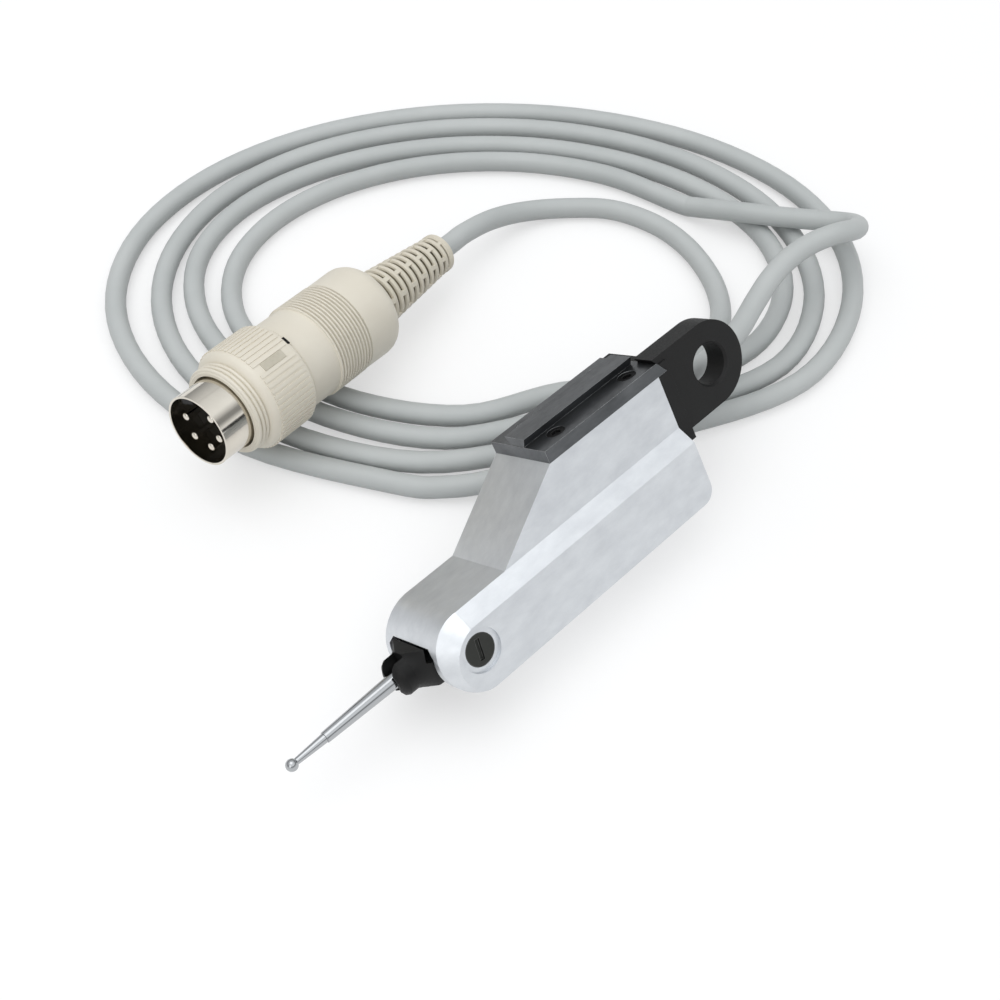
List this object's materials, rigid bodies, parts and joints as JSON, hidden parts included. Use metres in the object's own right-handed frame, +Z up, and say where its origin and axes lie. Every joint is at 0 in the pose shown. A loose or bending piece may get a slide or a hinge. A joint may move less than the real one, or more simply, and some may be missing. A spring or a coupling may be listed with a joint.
{
  "type": "lever gauge head",
  "caption": "Lever-type electronic gauge head with a ball-tipped stylus, dovetail rail, holed mounting lug, coiled grey cable and five-pin plug.",
  "frame": {"origin": "middle of the head's bounding box, at the height of the surface it lies on", "axes": "+X along the head from the stylus ball to the lug, level; +Z up; the head leans 33 degrees about X towards +Y, against its coiled cable"},
  "size_m": [0.1654, 0.1341, 0.0307],
  "materials": {
    "satin_aluminium": "satin anodised",
    "gunmetal": "dark ground",
    "black_anodised": "matte black anodised",
    "black_steel": "matte black oxide",
    "polished_steel": "polished",
    "brass": "turned",
    "copper": "enamelled wire",
    "board": "glass-fibre laminate",
    "black_plastic": "moulded",
    "cable_sheath": "smooth matte",
    "nickel": "bright nickel plate",
    "ivory_plastic": "moulded",
    "ivory_rubber": "moulded"
  },
  "bodies": {
    "head": {"housing": "satin_aluminium", "dovetail_rail": "gunmetal", "rail_screws": "black_steel", "rear_bracket": "black_anodised", "bracket_screws": "black_steel", "bearing_screw_near": "gunmetal", "bearing_screw_far": "gunmetal", "bearings": "brass", "coil_former": "ivory_plastic", "coil_windings": "copper", "return_spring": "polished_steel", "terminal_board": "board", "cable_gland": "black_plastic", "cable_clamp": "polished_steel", "cord_lead": "cable_sheath", "cord_coil": "cable_sheath", "cord_tail": "cable_sheath", "plug_shell": "nickel", "plug_insert": "black_plastic", "plug_pins": "nickel", "plug_body": "ivory_plastic", "plug_hood": "ivory_plastic", "plug_boot": "ivory_rubber"},
    "lever": {"pivot_shaft": "polished_steel", "lever_arm": "polished_steel", "friction_washers": "brass", "core_rod": "polished_steel"},
    "stylus": {"stylus_holder": "black_steel", "stylus_shank": "polished_steel", "stylus_tip": "polished_steel", "contact_ball": "polished_steel"},
    "coupling_ring": {"plug_coupling_ring": "ivory_plastic"}
  },
  "joints": [
    {"name": "lever_swing", "type": "hinge", "parent": "head", "child": "lever", "pos_m": [-0.0184, -0.00261, 0.01071], "axis": [0, 0.8387, -0.5446], "range_deg": [-1.2, 1.2], "stiffness_Nm_per_rad": 0.2},
    {"name": "stylus_angle", "type": "hinge", "parent": "lever", "child": "stylus", "pos_m": [-0.0184, -0.00261, 0.01071], "axis": [0, 0.8387, -0.5446], "range_deg": [-90, 6]},
    {"name": "ring_turn", "type": "hinge", "parent": "head", "child": "coupling_ring", "pos_m": [-0.01045, 0.05351, 0.01611], "axis": [0.9802, 0.1447, -0.1349], "continuous": true}
  ]
}
